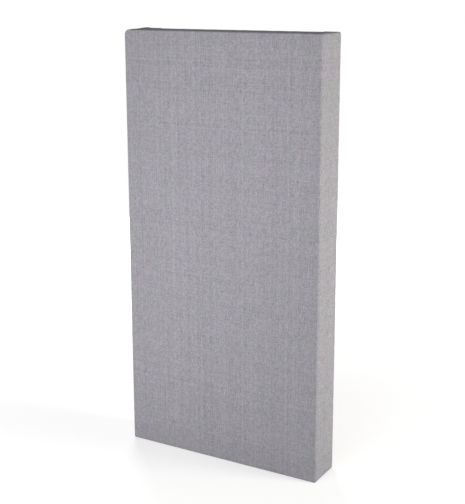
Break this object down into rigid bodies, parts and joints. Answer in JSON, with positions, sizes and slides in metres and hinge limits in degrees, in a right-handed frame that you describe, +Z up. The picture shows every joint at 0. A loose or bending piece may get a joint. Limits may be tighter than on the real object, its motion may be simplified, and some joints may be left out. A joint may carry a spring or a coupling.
{
  "type": "acoustic panel",
  "caption": "Tall flat acoustic panel: grey melange cloth stretched over a plywood frame filled with foam, with battens, keyhole plates and bumpers on its open back",
  "frame": {"origin": "middle of the bottom of the bounding box, on the surface the panel stands on", "axes": "+Z up, the cloth front faces -Y, the open back faces +Y towards the wall, +X is to the right of someone looking at the front"},
  "size_m": [0.6, 0.1172, 1.2029],
  "materials": {
    "cloth": "grey melange plain weave",
    "foam": "open-cell acoustic foam",
    "plywood": "bare birch plywood",
    "timber": "bare planed softwood",
    "steel": "zinc plated",
    "rubber": "matt black"
  },
  "bodies": {
    "root": {"fabric_cover": "cloth", "foam_front_slab": "foam", "foam_rear_slab": "foam", "frame_left_stile": "plywood", "frame_right_stile": "plywood", "frame_bottom_rail": "plywood", "frame_top_rail": "plywood", "hanging_batten": "timber", "middle_batten": "timber", "lower_batten": "timber", "keyhole_plate_left": "steel", "keyhole_plate_right": "steel", "gusset_top_left": "plywood", "bumper_top_left": "rubber", "gusset_top_right": "plywood", "bumper_top_right": "rubber", "gusset_bottom_left": "plywood", "bumper_bottom_left": "rubber", "gusset_bottom_right": "plywood", "bumper_bottom_right": "rubber", "corner_screw_top_left_1": "steel", "corner_screw_top_left_2": "steel", "gusset_screw_top_left_stile": "steel", "gusset_screw_top_left_rail": "steel", "corner_screw_top_right_1": "steel", "corner_screw_top_right_2": "steel", "gusset_screw_top_right_stile": "steel", "gusset_screw_top_right_rail": "steel", "corner_screw_bottom_left_1": "steel", "corner_screw_bottom_left_2": "steel", "gusset_screw_bottom_left_stile": "steel", "gusset_screw_bottom_left_rail": "steel", "corner_screw_bottom_right_1": "steel", "corner_screw_bottom_right_2": "steel", "gusset_screw_bottom_right_stile": "steel", "gusset_screw_bottom_right_rail": "steel", "hanging_batten_screw_left": "steel", "hanging_batten_screw_right": "steel", "middle_batten_screw_left": "steel", "middle_batten_screw_right": "steel", "lower_batten_screw_left": "steel", "lower_batten_screw_right": "steel", "plate_screw_left_upper": "steel", "plate_screw_left_lower": "steel", "plate_screw_right_upper": "steel", "plate_screw_right_lower": "steel"}
  },
  "joints": []
}
